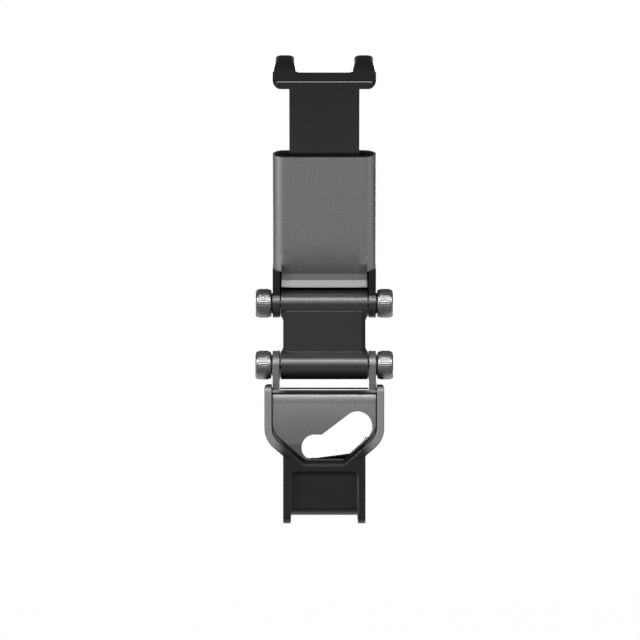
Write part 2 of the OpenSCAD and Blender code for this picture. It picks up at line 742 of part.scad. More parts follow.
module clamp_body() {
    color(black) on_clamp() difference() {
        union() {
            intersection() {
                side(-jaw_w / 2, jaw_w / 2) frame_section();
                union() {
                    plan(shelf_h - shelf_t - 1, shelf_h + jaw_lip + 1)
                        jaw_plan(0, frame_back + pad_low, jaw_front, lug_out, 0.1);
                    plan(shelf_h, sleeve_foot) translate([-lug_in - eps, 0])
                        square([2 * (lug_in + eps), frame_back + eps]);
                    plan(sleeve_foot - 1, tongue_top + 1) translate([-sheet_half + tongue_inset, 0])
                        square([2 * (sheet_half - tongue_inset), frame_back + eps]);
                }
            }
            both_sides() side(lug_in, lug_out) clamp_lug_section();
            both_sides() crown(lug_in, -1);
        }
        along_x(-lug_out - 1, lug_out + 1, bore_r);
        both_sides() plan(shelf_h - pad_pocket, shelf_h + 1) jaw_pad_plan(0);
        clamp_screw_places() translate([0, 0, -far / 2]) cylinder(r = screw_r + 0.05, h = far / 2);
    }
}

module lower_jaw_pad() { plan(shelf_h - pad_pocket, shelf_h - pad_pocket + pad_t) jaw_pad_plan(0.05); }
module lower_jaw_pad_left() { color(rubber) on_clamp() mirror([1, 0, 0]) lower_jaw_pad(); }
module lower_jaw_pad_right() { color(rubber) on_clamp() lower_jaw_pad(); }

// The guide fills the sleeve round the arm; a thin liner with a rib on each side stands on it
module mouth_guide() {
    slot_gap = 0.1;
    liner_w = sleeve_w - 2 * sleeve_wall - slot_gap;
    liner_t = sleeve_t - 2 * sleeve_wall - slot_gap;
    color(black) on_clamp() {
        plan(guide_low, guide_top) difference() {
            translate([0, sleeve_mid]) stadium(liner_w, liner_t);
            translate([-arm_w / 2 - slot_gap, arm_face - slot_gap])
                square([arm_w + 2 * slot_gap, arm_t + 2 * slot_gap]);
        }
        translate([0, sleeve_mid]) plan(mouth_h - flange_t, mouth_h - fit_gap / 2) difference() {
            stadium(liner_w + 2 * flange, liner_t + 2 * flange);
            stadium(liner_w - 2 * liner_wall, liner_t - 2 * liner_wall);
        }
        plan(guide_top - eps, mouth_h - flange_t + eps) translate([0, sleeve_mid]) difference() {
            stadium(liner_w, liner_t);
            difference() {
                stadium(liner_w - 2 * liner_wall, liner_t - 2 * liner_wall);
                for (x = [-1, 1]) translate([x * (spring_x + liner_wall) - liner_wall, -liner_t / 2])
                    square([2 * liner_wall, liner_t]);
            }
        }
    }
}

module back_pad() {
    half = (sleeve_w - sleeve_t) / 2 - 0.5;
    low = sleeve_foot + pad_low;
    high = mouth_h - 1.5;
    color(rubber) on_clamp() front(sleeve_back, phone_back) polygon(rounded([
        [-half, low, 2], [half, low, 2], [half, high, 2], [-half, high, 2]]));
}

// A compression spring between the arm's ear and the mouth's guide
module coil(x, z0, z1) {
    sides = 6;
    steps = 10;
    rings = coil_turns * steps;
    low = z0 + wire_r + 0.02;
    rise = z1 - z0 - 2 * wire_r - 0.04;
    points = [for (i = [0:rings]) for (j = [0:sides - 1])
        let (a = 360 * i / steps, b = 360 * j / sides, r = coil_r + wire_r * cos(b))
        [x + r * cos(a), sleeve_mid + r * sin(a), low + rise * i / rings + wire_r * sin(b)]];
    skin = [for (i = [0:rings - 1]) for (j = [0:sides - 1])
        let (k = (j + 1) % sides)
        [i * sides + k, (i + 1) * sides + k, (i + 1) * sides + j, i * sides + j]];
    caps = [[for (j = [sides - 1:-1:0]) j], [for (j = [0:sides - 1]) rings * sides + j]];
    polyhedron(points, concat(skin, caps));
}
module jaw_spring_left() { color(steel) on_clamp() coil(-spring_x, ear_top, guide_low); }
module jaw_spring_right() { color(steel) on_clamp() coil(spring_x, ear_top, guide_low); }

cradle_body();
cover_plate();
hinge_yoke();
seat_pad();
fork_pad_left();
fork_pad_right();
hook_pad();
cradle_screws();
lower_washers();
lower_thumb_bolt();
lower_thumb_nut();
link_body();
clamp_body();
clamp_housing();
mouth_guide();
back_pad();
lower_jaw_pad_left();
lower_jaw_pad_right();
clamp_screws();
jaw_spring_left();
jaw_spring_right();
upper_washers();
upper_thumb_bolt();
upper_thumb_nut();
jaw_arm();
upper_jaw_pad_left();
upper_jaw_pad_right();
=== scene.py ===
"""Folding phone clamp for a game controller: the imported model's looks, on its own frame.

Lengths are in metres, except under the headings and comments that say millimetres."""

import json
import math

import bmesh
import bpy
from mathutils import Matrix, Vector


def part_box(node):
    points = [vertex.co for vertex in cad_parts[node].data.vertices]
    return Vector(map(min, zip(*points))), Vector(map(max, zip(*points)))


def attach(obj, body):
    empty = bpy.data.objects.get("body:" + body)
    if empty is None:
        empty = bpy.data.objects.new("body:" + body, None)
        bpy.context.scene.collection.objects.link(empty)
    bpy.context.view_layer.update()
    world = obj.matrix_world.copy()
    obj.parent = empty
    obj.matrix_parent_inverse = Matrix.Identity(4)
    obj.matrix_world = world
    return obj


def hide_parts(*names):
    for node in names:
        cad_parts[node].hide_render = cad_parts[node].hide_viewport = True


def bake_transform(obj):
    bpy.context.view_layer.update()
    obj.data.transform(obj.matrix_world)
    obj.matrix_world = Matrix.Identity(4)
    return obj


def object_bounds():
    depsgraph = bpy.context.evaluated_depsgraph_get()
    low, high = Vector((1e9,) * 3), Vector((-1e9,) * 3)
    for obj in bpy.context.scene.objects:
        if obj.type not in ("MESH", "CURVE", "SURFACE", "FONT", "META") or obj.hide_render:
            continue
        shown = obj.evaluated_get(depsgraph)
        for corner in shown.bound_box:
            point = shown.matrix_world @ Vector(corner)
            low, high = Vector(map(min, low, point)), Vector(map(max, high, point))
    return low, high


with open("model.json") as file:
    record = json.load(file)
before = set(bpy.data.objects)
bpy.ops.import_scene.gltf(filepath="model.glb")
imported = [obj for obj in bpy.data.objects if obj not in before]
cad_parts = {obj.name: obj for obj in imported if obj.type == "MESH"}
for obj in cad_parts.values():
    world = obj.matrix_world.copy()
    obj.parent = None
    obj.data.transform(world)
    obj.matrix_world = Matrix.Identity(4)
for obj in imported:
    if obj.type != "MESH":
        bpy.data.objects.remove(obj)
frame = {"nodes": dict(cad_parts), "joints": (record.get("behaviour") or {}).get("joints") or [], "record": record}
cad_low, cad_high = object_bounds()

MM = 0.001
X, Y, Z = 0, 1, 2
NODES = frame["nodes"]
BODY_OF = {node: body for body, nodes in frame["record"]["behaviour"]["bodies"].items() for node in nodes}
SLOT_OF = {part["node"]: part["material_slot"] for part in frame["record"]["subparts"]}
JOINTS = {joint["name"]: joint for joint in frame["joints"]}

upper_axis = Vector(JOINTS["upper_hinge"]["pos_m"])
lower_axis = Vector(JOINTS["lower_hinge"]["pos_m"])
slide_axis = Vector(JOINTS["jaw_slide"]["axis"])
clamp_lean = math.atan2(-slide_axis.y, slide_axis.z)

# The frames that shapes are worked in: the model's own, and the clamp's, upright with its hinge axis at zero
IN_ROW = Matrix.Identity(4)
IN_CLAMP = (Matrix.Translation(upper_axis) @ Matrix.Rotation(clamp_lean, 4, "X")).inverted()


# Helpers for shader nodes and objects


def linked(name, data):
    """A new object, linked to the scene."""
    thing = bpy.data.objects.new(name, data)
    bpy.context.scene.collection.objects.link(thing)
    return thing


def material(name):
    mat = bpy.data.materials.new(name)
    mat.use_nodes = True
    tree = mat.node_tree
    return mat, tree, tree.nodes["Principled BSDF"]


def feed(tree, value, socket):
    """Links another node's output to a socket, or sets the socket to a plain value."""
    if isinstance(value, bpy.types.NodeSocket):
        tree.links.new(value, socket)
    else:
        socket.default_value = value


def maths(tree, operation, *values):
    node = tree.nodes.new("ShaderNodeMath")
    node.operation = operation
    for value, socket in zip(values, node.inputs):
        feed(tree, value, socket)
    return node.outputs["Value"]


def product(tree, first, *others):
    result = first
    for value in others:
        result = maths(tree, "MULTIPLY", result, value)
    return result


def mix(tree, factor, outside, inside, kind="FLOAT"):
    """One value where the factor is 0, and another where it is 1."""
    node = tree.nodes.new("ShaderNodeMix")
    node.data_type = kind
    feed(tree, factor, node.inputs["Factor"])
    feed(tree, outside, node.inputs["A"])
    feed(tree, inside, node.inputs["B"])
    return node.outputs["Result"]


def map_range(tree, value, source, result=(0, 1), smooth=False):
    """Maps a value from one span to another, and holds it there beyond the ends."""
    node = tree.nodes.new("ShaderNodeMapRange")
    if smooth:
        node.interpolation_type = "SMOOTHSTEP"
    for name, number in zip(("From Min", "From Max", "To Min", "To Max"), (*source, *result)):
        node.inputs[name].default_value = number
    tree.links.new(value, node.inputs["Value"])
    return node.outputs["Result"]


def spread(tree, source, low, high):
    return map_range(tree, source, (0, 1), (low, high))


def coordinate(tree, kind="Object"):
    return tree.nodes.new("ShaderNodeTexCoord").outputs[kind]


def split(tree, vector):
    node = tree.nodes.new("ShaderNodeSeparateXYZ")
    tree.links.new(vector, node.inputs["Vector"])
    return node.outputs


def distance_to(tree, where, point):
    node = tree.nodes.new("ShaderNodeVectorMath")
    node.operation = "DISTANCE"
    node.inputs[1].default_value = point
    tree.links.new(where, node.inputs[0])
    return node.outputs["Value"]


def noise(tree, scale, detail=2.0, rough=0.5, where=None):
    node = tree.nodes.new("ShaderNodeTexNoise")
    node.inputs["Scale"].default_value = scale
    node.inputs["Detail"].default_value = detail
    node.inputs["Roughness"].default_value = rough
    if where is None:
        where = coordinate(tree)
    tree.links.new(where, node.inputs["Vector"])
    return node.outputs["Fac"]


def grey_ramp(tree, source, *stops):
    """A grey for each value from 0 to 1; a stop is a value and its grey."""
    node = tree.nodes.new("ShaderNodeValToRGB")
    elements = node.color_ramp.elements
    while len(elements) < len(stops):
        elements.new(0.5)
    for element, (at, grey) in zip(elements, stops):
        element.position = at
        element.color = (grey, grey, grey, 1)
    tree.links.new(source, node.inputs["Fac"])
    return node.outputs["Color"]


def mottle(tree, source, tone, dark, light):
    """A grey that a noise moves between two shares of its tone."""
    return grey_ramp(tree, source, (0.3, tone * dark), (0.7, tone * light))


def bump(tree, shader, source, strength, distance):
    node = tree.nodes.new("ShaderNodeBump")
    node.inputs["Strength"].default_value = strength
    node.inputs["Distance"].default_value = distance
    tree.links.new(source, node.inputs["Height"])
    tree.links.new(node.outputs["Normal"], shader.inputs["Normal"])


# Materials


def gunmetal(name, tone, roughness, metallic=0.8):
    """Satin metallic paint: dark grey with a fine bright and dark speckle."""
    mat, tree, shader = material(name)
    shader.inputs["Metallic"].default_value = metallic
    shader.inputs["Specular IOR Level"].default_value = 0.3
    fine = noise(tree, scale=4200, detail=1.0, rough=0.4)
    speckle = grey_ramp(tree, fine, (0.3, tone * 0.86), (0.5, tone), (0.7, tone * 1.16))
    tree.links.new(speckle, shader.inputs["Base Color"])
    uneven = spread(tree, noise(tree, scale=900, detail=3.0), roughness - 0.05, roughness + 0.05)
    tree.links.new(uneven, shader.inputs["Roughness"])
    bump(tree, shader, fine, strength=0.1, distance=0.02 * MM)
    return mat


def black_plastic(name, finish, zone=None, zone_finish_and_sheen=None):
    """Satin moulded plastic with a fine spark texture. A finish is a tone, a roughness and a gloss.

    A zone is a function that returns a mask; inside it the plastic has a finish of its own, and on the cradle's
    ribs that zone's lighter tone is a painted sheen."""
    tone, roughness, gloss = finish
    mat, tree, shader = material(name)
    grain = noise(tree, scale=5200, rough=0.6)
    body = mottle(tree, noise(tree, scale=260, detail=3.0), tone, 0.9, 1.12)
    satin = spread(tree, grain, roughness - 0.05, roughness + 0.05)
    if zone is not None:
        zone_tone, zone_roughness, zone_gloss = zone_finish_and_sheen
        mask = zone(tree)
        body = mix(tree, mask, body, (zone_tone, zone_tone, zone_tone, 1), "RGBA")
        satin = mix(tree, mask, satin, zone_roughness)
        gloss = mix(tree, mask, gloss, zone_gloss)
    feed(tree, body, shader.inputs["Base Color"])
    feed(tree, satin, shader.inputs["Roughness"])
    feed(tree, gloss, shader.inputs["Specular IOR Level"])
    bump(tree, shader, grain, strength=0.14, distance=0.03 * MM)
    return mat


def painted_rib_sheen(tree):
    """1 on the rear faces of the cradle's two upper side ribs, where a far lighter tone paints their sheen, fading
    out down their shoulders.
    """
    facing_rear, out_to_ribs, up_the_ribs = (0.55, 0.95), (12 * MM, 16.5 * MM), (5 * MM, 14 * MM)
    place = split(tree, coordinate(tree))
    facing = split(tree, coordinate(tree, "Normal"))
    rear = maths(tree, "MULTIPLY", facing["Y"], -1)
    across = maths(tree, "ABSOLUTE", place["X"])
    return product(
        tree,
        map_range(tree, rear, facing_rear, smooth=True),
        map_range(tree, across, out_to_ribs, smooth=True),
        map_range(tree, place["Z"], up_the_ribs, smooth=True))


def away_from_barrels(tree):
    """0 on the hinge barrels and 1 away from them, by the distance from the two hinge axes."""
    past_the_skin = (4.66 * MM, 4.8 * MM)
    flat = tree.nodes.new("ShaderNodeVectorMath")
    flat.operation = "MULTIPLY"
    flat.inputs[1].default_value = (0, 1, 1)
    tree.links.new(coordinate(tree), flat.inputs[0])
    place = flat.outputs["Vector"]
    reaches = [distance_to(tree, place, (0, axis.y, axis.z)) for axis in (lower_axis, upper_axis)]
    return map_range(tree, maths(tree, "MINIMUM", *reaches), past_the_skin)


def steel(name, tone, roughness):
    """Turned and darkened steel with fine turning marks round the X axis."""
    mat, tree, shader = material(name)
    shader.inputs["Metallic"].default_value = 1.0
    stretch = tree.nodes.new("ShaderNodeMapping")
    stretch.inputs["Scale"].default_value = (9000, 500, 500)
    tree.links.new(coordinate(tree), stretch.inputs["Vector"])
    marks = noise(tree, scale=1.0, detail=3.0, where=stretch.outputs["Vector"])
    tree.links.new(mottle(tree, marks, tone, 0.82, 1.18), shader.inputs["Base Color"])
    tree.links.new(spread(tree, marks, roughness - 0.05, roughness + 0.08), shader.inputs["Roughness"])
    bump(tree, shader, marks, strength=0.08, distance=0.02 * MM)
    return mat


def rubber(name, tone):
    """Soft dark rubber with a dusty, uneven matte face."""
    mat, tree, shader = material(name)
    shader.inputs["Specular IOR Level"].default_value = 0.3
    tint = mottle(tree, noise(tree, scale=700, detail=4.0), tone, 0.85, 1.2)
    tree.links.new(tint, shader.inputs["Base Color"])
    tree.links.new(spread(tree, noise(tree, scale=1500), 0.7, 0.9), shader.inputs["Roughness"])
    bump(tree, shader, noise(tree, scale=3800), strength=0.2, distance=0.03 * MM)
    return mat


MATERIALS = {
    # Painted sheen: the cradle's upper ribs get a far lighter tone on their rear faces, fading out down their
    # shoulders
    "cradle_plastic": black_plastic(
        "cradle plastic", (0.006, 0.34, 0.6), painted_rib_sheen, (0.16, 0.4, 0.8)),
    "link_plastic": black_plastic(
        "link plastic", (0.012, 0.34, 1.0), away_from_barrels, (0.016, 0.75, 0.15)),
    "clamp_plastic": black_plastic(
        "clamp plastic", (0.008, 0.34, 1.0), away_from_barrels, (0.008, 0.5, 0.25)),
    "arm_plastic": black_plastic("arm plastic", (0.004, 0.24, 0.85)),
    "guide_plastic": black_plastic("guide plastic", (0.004, 0.7, 0.1)),
    "plate_metal": gunmetal("plate metal", tone=0.2, roughness=0.44),
    "yoke_metal": gunmetal("yoke metal", tone=0.17, roughness=0.44),
    "housing_metal": gunmetal("housing metal", tone=0.3, roughness=0.46, metallic=0.9),
    "knob_steel": steel("knob steel", tone=0.27, roughness=0.34),
    "washer_steel": steel("washer steel", tone=0.05, roughness=0.4),
    "screw_steel": steel("screw steel", tone=0.12, roughness=0.35),
    "spring_steel": steel("spring steel", tone=0.4, roughness=0.28),
    "pad_rubber": rubber("pad rubber", tone=0.03),
}


# Tools for shapes, in millimetres


def smooth_faces(bm, degrees):
    """Smooth shading that breaks at edges sharper than the angle."""
    limit = math.radians(degrees)
    for face in bm.faces:
        face.smooth = True
    for edge in bm.edges:
        edge.smooth = len(edge.link_faces) == 2 and edge.calc_face_angle(0) < limit


def level_cuts(bm, to_local, axis, places):
    """Cuts the mesh at each of the places along one axis of the given frame."""
    to_row = to_local.inverted()
    normal = to_row.to_3x3().col[axis].normalized()
    for place in places:
        point = Vector((0, 0, 0))
        point[axis] = place * MM
        bmesh.ops.bisect_plane(
            bm,
            geom=bm.verts[:] + bm.edges[:] + bm.faces[:],
            plane_co=to_row @ point,
            plane_no=normal,
            dist=0.0001 * MM)


def move_points(bm, to_local, moved):
    """Moves each vertex, in the given frame, to where the function puts it; None leaves it in its place."""
    to_row = to_local.inverted()
    for vert in bm.verts:
        place = moved(to_local @ vert.co / MM)
        if place is not None:
            vert.co = to_row @ (place * MM)


def bridge(bm, one, two):
    """A wall of faces between two rings that have the same number of vertices."""
    for i in range(len(one)):
        k = (i + 1) % len(one)
        bm.faces.new((one[i], one[k], two[k], two[i]))


def new_piece(bm, name, degrees):
    """An object of a closed shape that was built from nothing."""
    bmesh.ops.recalc_face_normals(bm, faces=bm.faces)
    smooth_faces(bm, degrees)
    mesh = bpy.data.meshes.new(name)
    bm.to_mesh(mesh)
    bm.free()
    return linked(name, mesh)


def finish_piece(piece, node):
    """Gives a piece the body of the CAD node that it stands for, and the material of that node's slot."""
    piece.data.materials.clear()
    piece.data.materials.append(MATERIALS[SLOT_OF[node]])
    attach(piece, BODY_OF[node])
    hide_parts(node)


# Soft pads, in millimetres

# For each: the frame where it lies straight, the axis and the way that its face looks, the axis that its
# grooves are spaced along, and how many there are
PADS = {
    "seat_pad": (IN_ROW, Y, 1, Z, 5),
    "hook_pad": (IN_ROW, Z, 1, Y, 6),
    "fork_pad_left": (IN_ROW, Z, -1, Y, 6),
    "fork_pad_right": (IN_ROW, Z, -1, Y, 6),
    "back_pad": (IN_CLAMP, Y, 1, Z, 12),
    "lower_jaw_pad_left": (IN_CLAMP, Z, 1, Y, 4),
    "lower_jaw_pad_right": (IN_CLAMP, Z, 1, Y, 4),
    "upper_jaw_pad_left": (IN_CLAMP, Z, -1, Y, 4),
    "upper_jaw_pad_right": (IN_CLAMP, Z, -1, Y, 4),
}


def cut_grooves(bm, to_local, out, way, step, count):
    """Presses evenly spaced shallow grooves into the face that looks along one axis."""
    groove_half, groove_depth, face_skin, touching = 0.35, 0.16, 0.5, 0.001
    places = [to_local @ vert.co / MM for vert in bm.verts]
    low = min(place[step] for place in places)
    high = max(place[step] for place in places)
    face_at = max(way * place[out] for place in places)
    grooves = [low + (high - low) * (i + 1) / (count + 1) for i in range(count)]
    sides = (-groove_half, 0, groove_half)
    level_cuts(bm, to_local, step, [groove + side for groove in grooves for side in sides])

    def pressed(place):
        in_groove = any(abs(place[step] - groove) < touching for groove in grooves)
        if not in_groove or face_at - way * place[out] >= face_skin:
            return None
        place[out] -= way * groove_depth
        return place

    move_points(bm, to_local, pressed)


# The clamp's lugs and the crown teeth, in millimetres

# How far from the middle the tips of the teeth are, on the lugs and on the barrels
LUG_TEETH_AT = 14.26
BARREL_TEETH_AT = 14.2


def free_lug_knuckles(bm):
    """Draws the column above each round knuckle of the clamp's lugs back, so that it stands proud."""
    knuckle_r, column_front, lug_inside, foot, top = 4.65, -2.9, 14.3, 0.05, 6.6
    round_the_knuckle = [0.3 * i for i in range(1, 13)] + [3.7]
    level_cuts(bm, IN_CLAMP, Z, round_the_knuckle)

    def drawn_back(place):
        knuckle_front = -math.sqrt(max(0.0, knuckle_r ** 2 - place.z ** 2))
        front = min(column_front, knuckle_front)
        if abs(place.x) < lug_inside or not foot < place.z < top or place.y >= front:
            return None
        place.y = front
        return place

    move_points(bm, IN_CLAMP, drawn_back)


def sink_crown_teeth(bm, axis, teeth_at):
    """Draws the crown teeth's tips in from the rim, so that the joint with the lug reads as a dark line."""
    rim_from, rim_to, sink, touching = 4.2, 4.8, 0.6, 0.02

    def drawn_in(place):
        flat = Vector((0, place.y - axis.y / MM, place.z - axis.z / MM))
        if abs(abs(place.x) - teeth_at) >= touching or not rim_from < flat.length < rim_to:
            return None
        return place - flat * (sink / flat.length)

    move_points(bm, IN_ROW, drawn_in)


# The housing's waist, in millimetres in the clamp's frame

SHEET_FACE = -3.0
SHEET_WALL = 1.4
SHEET_HALF_WIDTH = 13.9
# Where the sheet's rounded corners start, and their radius
CORNER_FROM, CORNER_R = 12.9, 3.8
# The side walls end on a slant between these heights, and only the front sheet goes on below
SIDE_WALLS_FOOT, SIDE_WALLS_TOP = 11.95, 16.45
BEHIND_THE_SHEET = 2.0
ON_THE_SIDE = 0.05
WAIST_TOP, WAIST_CREASE, LIP_FROM = 23.1, 10.45, 8.3
WAIST_DEPTH, FALL_POWER, LIP_SLOPE = 2.3, 2.5, 0.42
LEVELS_A_MILLIMETRE = 50


def waist_depth(v):
    """How far the housing's front lies behind its flat face at a height.

    It falls in slowly to a crease, keeps that depth down to the lip and comes out again along the lip."""
    if v > WAIST_CREASE:
        return WAIST_DEPTH * (max(0.0, WAIST_TOP - v) / (WAIST_TOP - WAIST_CREASE)) ** FALL_POWER
    return WAIST_DEPTH - LIP_SLOPE * max(0.0, LIP_FROM - v)


def level_of(place):
    return round(place.z * LEVELS_A_MILLIMETRE)


def sheet_fronts(bm):
    """The sheet's front at each level below the top of the side walls' slant, before the sheet is moved."""
    beyond = 9.0
    fronts = {}
    for vert in bm.verts:
        place = IN_CLAMP @ vert.co / MM
        on_sheet = abs(place.x) < SHEET_HALF_WIDTH - ON_THE_SIDE and place.y < BEHIND_THE_SHEET
        if on_sheet and place.z < SIDE_WALLS_TOP:
            level = level_of(place)
            for near in (level - 1, level, level + 1):
                fronts[near] = min(fronts.get(near, beyond), place.y)
    return fronts


def on_waist(place, fronts):
    """Where a point of the housing lies once the waist is drawn in."""
    face_skin, edge_skin, sheet_skin = 0.6, 0.2, 0.7
    fade_width, whole_below, whole_fade = 3.4, 14.6, 2.4
    across = abs(place.x)
    if across > SHEET_HALF_WIDTH + ON_THE_SIDE or place.y > BEHIND_THE_SHEET:
        return None
    side = min(1.0, max(0.0, (SHEET_HALF_WIDTH - across) / fade_width))
    side = side * side * (3 - 2 * side)
    corner = CORNER_R - math.sqrt(CORNER_R ** 2 - max(0.0, across - CORNER_FROM) ** 2)
    if place.z >= SIDE_WALLS_TOP:
        if place.y < SHEET_FACE + face_skin and place.z < WAIST_TOP:
            place.y = SHEET_FACE + max(corner, waist_depth(place.z) * side)
        return place
    on_edge = across > SHEET_HALF_WIDTH - ON_THE_SIDE and place.y < SHEET_FACE + edge_skin
    if on_edge and place.z > SIDE_WALLS_FOOT:
        place.y = SHEET_FACE + corner
        return place
    outer = place.y < fronts.get(level_of(place), SHEET_FACE) + sheet_skin
    whole = min(1.0, max(0.0, (whole_below - place.z) / whole_fade))
    depth = max(corner, waist_depth(place.z) * (whole + (1 - whole) * side))
    place.y = SHEET_FACE + depth + (0 if outer else SHEET_WALL)
    return place


def draw_in_waist(bm):
    """Gives the housing's foot the photograph's waist."""
    foot_levels = [6.5 + 0.45 * i for i in range(24)]
    fall_levels = [WAIST_CREASE, 17.9, 18.7, 19.6, 20.6, 21.8, WAIST_TOP]
    out_to_sides = [way * x for way in (-1, 1) for x in (10.5, 11.3, 12.1, 12.9, 13.5)]
    level_cuts(bm, IN_CLAMP, Z, foot_levels + fall_levels)
    level_cuts(bm, IN_CLAMP, X, out_to_sides)
    fronts = sheet_fronts(bm)
    move_points(bm, IN_CLAMP, lambda place: on_waist(place, fronts))
    bmesh.ops.remove_doubles(bm, verts=bm.verts, dist=0.02 * MM)


# The cover plate, in millimetres


def arch_plate(bm):
    """Crowns the cover plate's flat face a little from top to bottom."""
    front, back, middle, bend, crown = -7.8, -6.4, 20.0, 27.3, 0.006
    level_cuts(bm, IN_ROW, Z, [11 + 1.8 * i for i in range(10)])

    def crowned(place):
        outer = min(1.0, max(0.0, (back - place.y) / (back - front)))
        place.y += crown * (min(place.z, bend) - middle) ** 2 * outer
        return place

    move_points(bm, IN_ROW, crowned)


# Pieces that start from the CAD node's own shape

# The width of each one's rounded edges, in millimetres
ROUNDED = {
    "cradle_body": 0.3, "cover_plate": 0.16, "hinge_yoke": 0.16, "link_body": 0.2, "clamp_body": 0.2,
    "clamp_housing": 0.2, "jaw_arm": 0.42, "mouth_guide": 0.1,
    "lower_washers": 0.06, "upper_washers": 0.06, "cradle_screws": 0.08, "clamp_screws": 0.08,
}
PAD_EDGE = 0.18
# Edges that meet at more than this many degrees are rounded
EDGE_ANGLE, PAD_EDGE_ANGLE = 32, 20
# Pieces whose smallest faces would otherwise hold back the rounding of all their edges
UNCLAMPED = {"cradle_body", "cover_plate", "hinge_yoke"}


def reshape(bm, node):
    """Gives a few nodes the forms that the photograph shows and the CAD shape leaves out."""
    if node in PADS:
        cut_grooves(bm, *PADS[node])
    elif node == "clamp_body":
        free_lug_knuckles(bm)
        sink_crown_teeth(bm, upper_axis, LUG_TEETH_AT)
    elif node == "hinge_yoke":
        sink_crown_teeth(bm, lower_axis, LUG_TEETH_AT)
    elif node == "link_body":
        sink_crown_teeth(bm, upper_axis, BARREL_TEETH_AT)
        sink_crown_teeth(bm, lower_axis, BARREL_TEETH_AT)
    elif node == "clamp_housing":
        draw_in_waist(bm)
    elif node == "cover_plate":
        arch_plate(bm)


def softened(node, width, degrees):
    """The CAD node's own shape with its edges rounded, as moulding, painting or turning leaves them."""
    weld, flat_angle = 0.01 * MM, math.radians(0.6)
    piece = linked(node + "_soft", bpy.data.meshes.new(node + "_start"))
    bm = bmesh.new()
    bm.from_mesh(NODES[node].data)
    bmesh.ops.remove_doubles(bm, verts=bm.verts, dist=weld)
    bmesh.ops.dissolve_limit(bm, angle_limit=flat_angle, verts=bm.verts, edges=bm.edges)
    reshape(bm, node)
    smooth_faces(bm, degrees)
    bm.to_mesh(piece.data)
    bm.free()
    bevel = piece.modifiers.new("round edges", "BEVEL")
    bevel.width = width * MM
    bevel.segments = 2
    bevel.limit_method = "ANGLE"
    bevel.angle_limit = math.radians(degrees)
    bevel.use_clamp_overlap = node not in UNCLAMPED
    weighted = piece.modifiers.new("flat faces stay flat", "WEIGHTED_NORMAL")
    weighted.keep_sharp = False
    weighted.weight = 50
    depsgraph = bpy.context.evaluated_depsgraph_get()
    baked = bpy.data.meshes.new_from_object(piece.evaluated_get(depsgraph))
    baked.name = node + "_soft"
    piece.modifiers.clear()
    piece.data = baked
    finish_piece(piece, node)


for node, width in ROUNDED.items():
    softened(node, width, EDGE_ANGLE)
for node in PADS:
    softened(node, PAD_EDGE, PAD_EDGE_ANGLE)


# Thumb knobs, in millimetres

RIDGES, STEPS_A_RIDGE = 48, 6
RIDGE_TOP, RIDGE_DEPTH = 4.7, 0.05
# How far the bolt's shaft reaches into the nut
THREAD_REACH = 4.2
# A knob's distances from its inner face, each with the radius there, or None where the rim is knurled
KNOB_PROFILE = (
    (0.0, 1.5), (0.0, 4.15), (0.03, 4.2), (0.34, 4.48), (0.37, 4.5), (0.4, 4.52), (0.88, 4.52),
    (0.92, 4.53), (0.96, None), (1.0, None), (4.05, None), (4.1, None), (4.14, 4.53), (4.18, 4.52),
    (4.68, 4.52), (4.71, 4.5), (4.74, 4.48), (5.06, 4.2), (5.1, 4.15), (5.16, 4.05), (5.22, 3.2),
    (5.28, 2.9), (5.34, 1.5), (5.36, 0.02))


def knurl(angle):
    """The radius of the knurled rim at an angle."""
    return RIDGE_TOP - RIDGE_DEPTH / 2 + RIDGE_DEPTH / 2 * math.cos(angle * RIDGES)


def knob(node, axis, way, inner, with_shaft):
    """A knurled thumb knob on a hinge axis, turned as one lathe profile; the bolt's has its shaft."""
    sides = RIDGES * STEPS_A_RIDGE
    angles = [2 * math.pi * i / sides for i in range(sides)]
    centre = Vector((0, axis.y, axis.z))
    bm = bmesh.new()
    rings = []
    for x, radius in KNOB_PROFILE:
        ring = []
        for angle in angles:
            reach = knurl(angle) if radius is None else radius
            turned = Vector((way * (inner + x), reach * math.cos(angle), reach * math.sin(angle)))
            ring.append(bm.verts.new(centre + turned * MM))
        rings.append(ring)
    for one, two in zip(rings, rings[1:]):
        bridge(bm, one, two)
    bm.faces.new(rings[-1])
    start = rings[0]
    if with_shaft:
        shaft_end = -way * (inner + THREAD_REACH) * MM
        start = [bm.verts.new((shaft_end, vert.co.y, vert.co.z)) for vert in rings[0]]
        bridge(bm, start, rings[0])
    bm.faces.new(reversed(start))
    finish_piece(new_piece(bm, node + "_knurled", degrees=20), node)


for place, axis in (("lower", lower_axis), ("upper", upper_axis)):
    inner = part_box(place + "_thumb_nut")[0][0] / MM
    knob(place + "_thumb_bolt", axis, -1, inner, True)
    knob(place + "_thumb_nut", axis, 1, inner, False)


# Springs

TURNS, STEPS_A_TURN, WIRE_SIDES = 9, 20, 8
WIRE_R, COIL_R = 0.22 * MM, 1.3 * MM
# The coil's share of the length that its CAD node takes up
COIL_SHARE = 0.9


